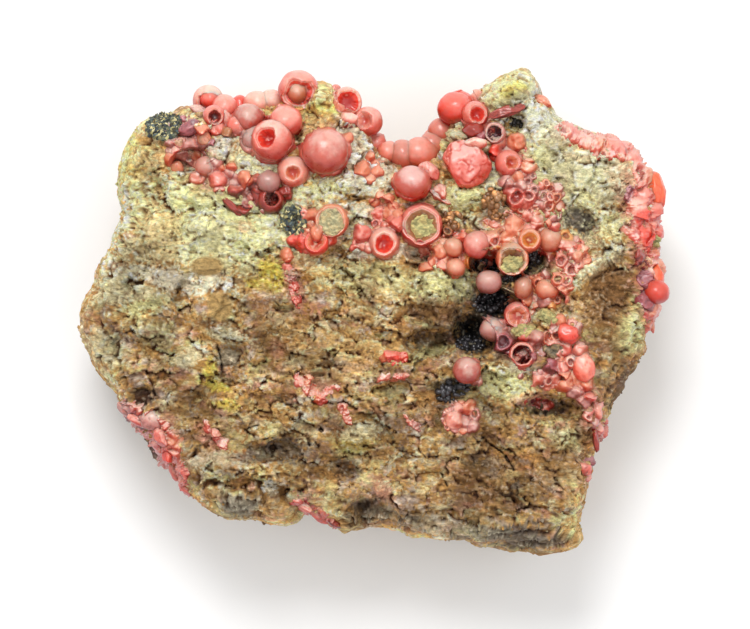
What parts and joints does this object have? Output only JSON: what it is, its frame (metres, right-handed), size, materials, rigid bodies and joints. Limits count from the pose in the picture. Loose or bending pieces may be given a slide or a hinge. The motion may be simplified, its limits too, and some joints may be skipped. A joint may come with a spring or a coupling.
{
  "type": "rhodochrosite on matrix",
  "caption": "Hand specimen of botryoidal red and pink rhodochrosite balls and broken cups on a rough ochre matrix, lying on its cut back.",
  "frame": {"origin": "middle of the flat cut back, under the middle of the specimen's bounding box", "axes": "+Z out of the crystal-bearing front, +X along the specimen's length to the right of the front, +Y towards the edge with the two peaks"},
  "size_m": [0.0799, 0.0663, 0.0336],
  "materials": {
    "matrix": "matt, earthy, rough",
    "rhodochrosite_pink": "vitreous, slightly translucent",
    "rhodochrosite_red": "vitreous, slightly translucent",
    "goethite": "black, glossy knobs",
    "metallic": "metallic, bluish tarnish"
  },
  "bodies": {
    "root": {"matrix": "matrix", "rhodochrosite_upper_left": "rhodochrosite_pink", "rhodochrosite_top": "rhodochrosite_red", "rhodochrosite_centre_cups": "rhodochrosite_red", "rhodochrosite_ring": "rhodochrosite_red", "rhodochrosite_band": "rhodochrosite_pink", "rhodochrosite_hollow_rim": "rhodochrosite_pink", "rhodochrosite_lone_ball": "rhodochrosite_pink", "rhodochrosite_lower_patch": "rhodochrosite_pink", "rhodochrosite_right_edge": "rhodochrosite_red", "rhodochrosite_peak_flake": "rhodochrosite_red", "rhodochrosite_lower_left_seam": "rhodochrosite_red", "rhodochrosite_bottom_seam": "rhodochrosite_pink", "goethite_crust": "goethite", "metallic_patch_upper_left": "metallic", "metallic_patch_centre": "metallic"}
  },
  "joints": []
}
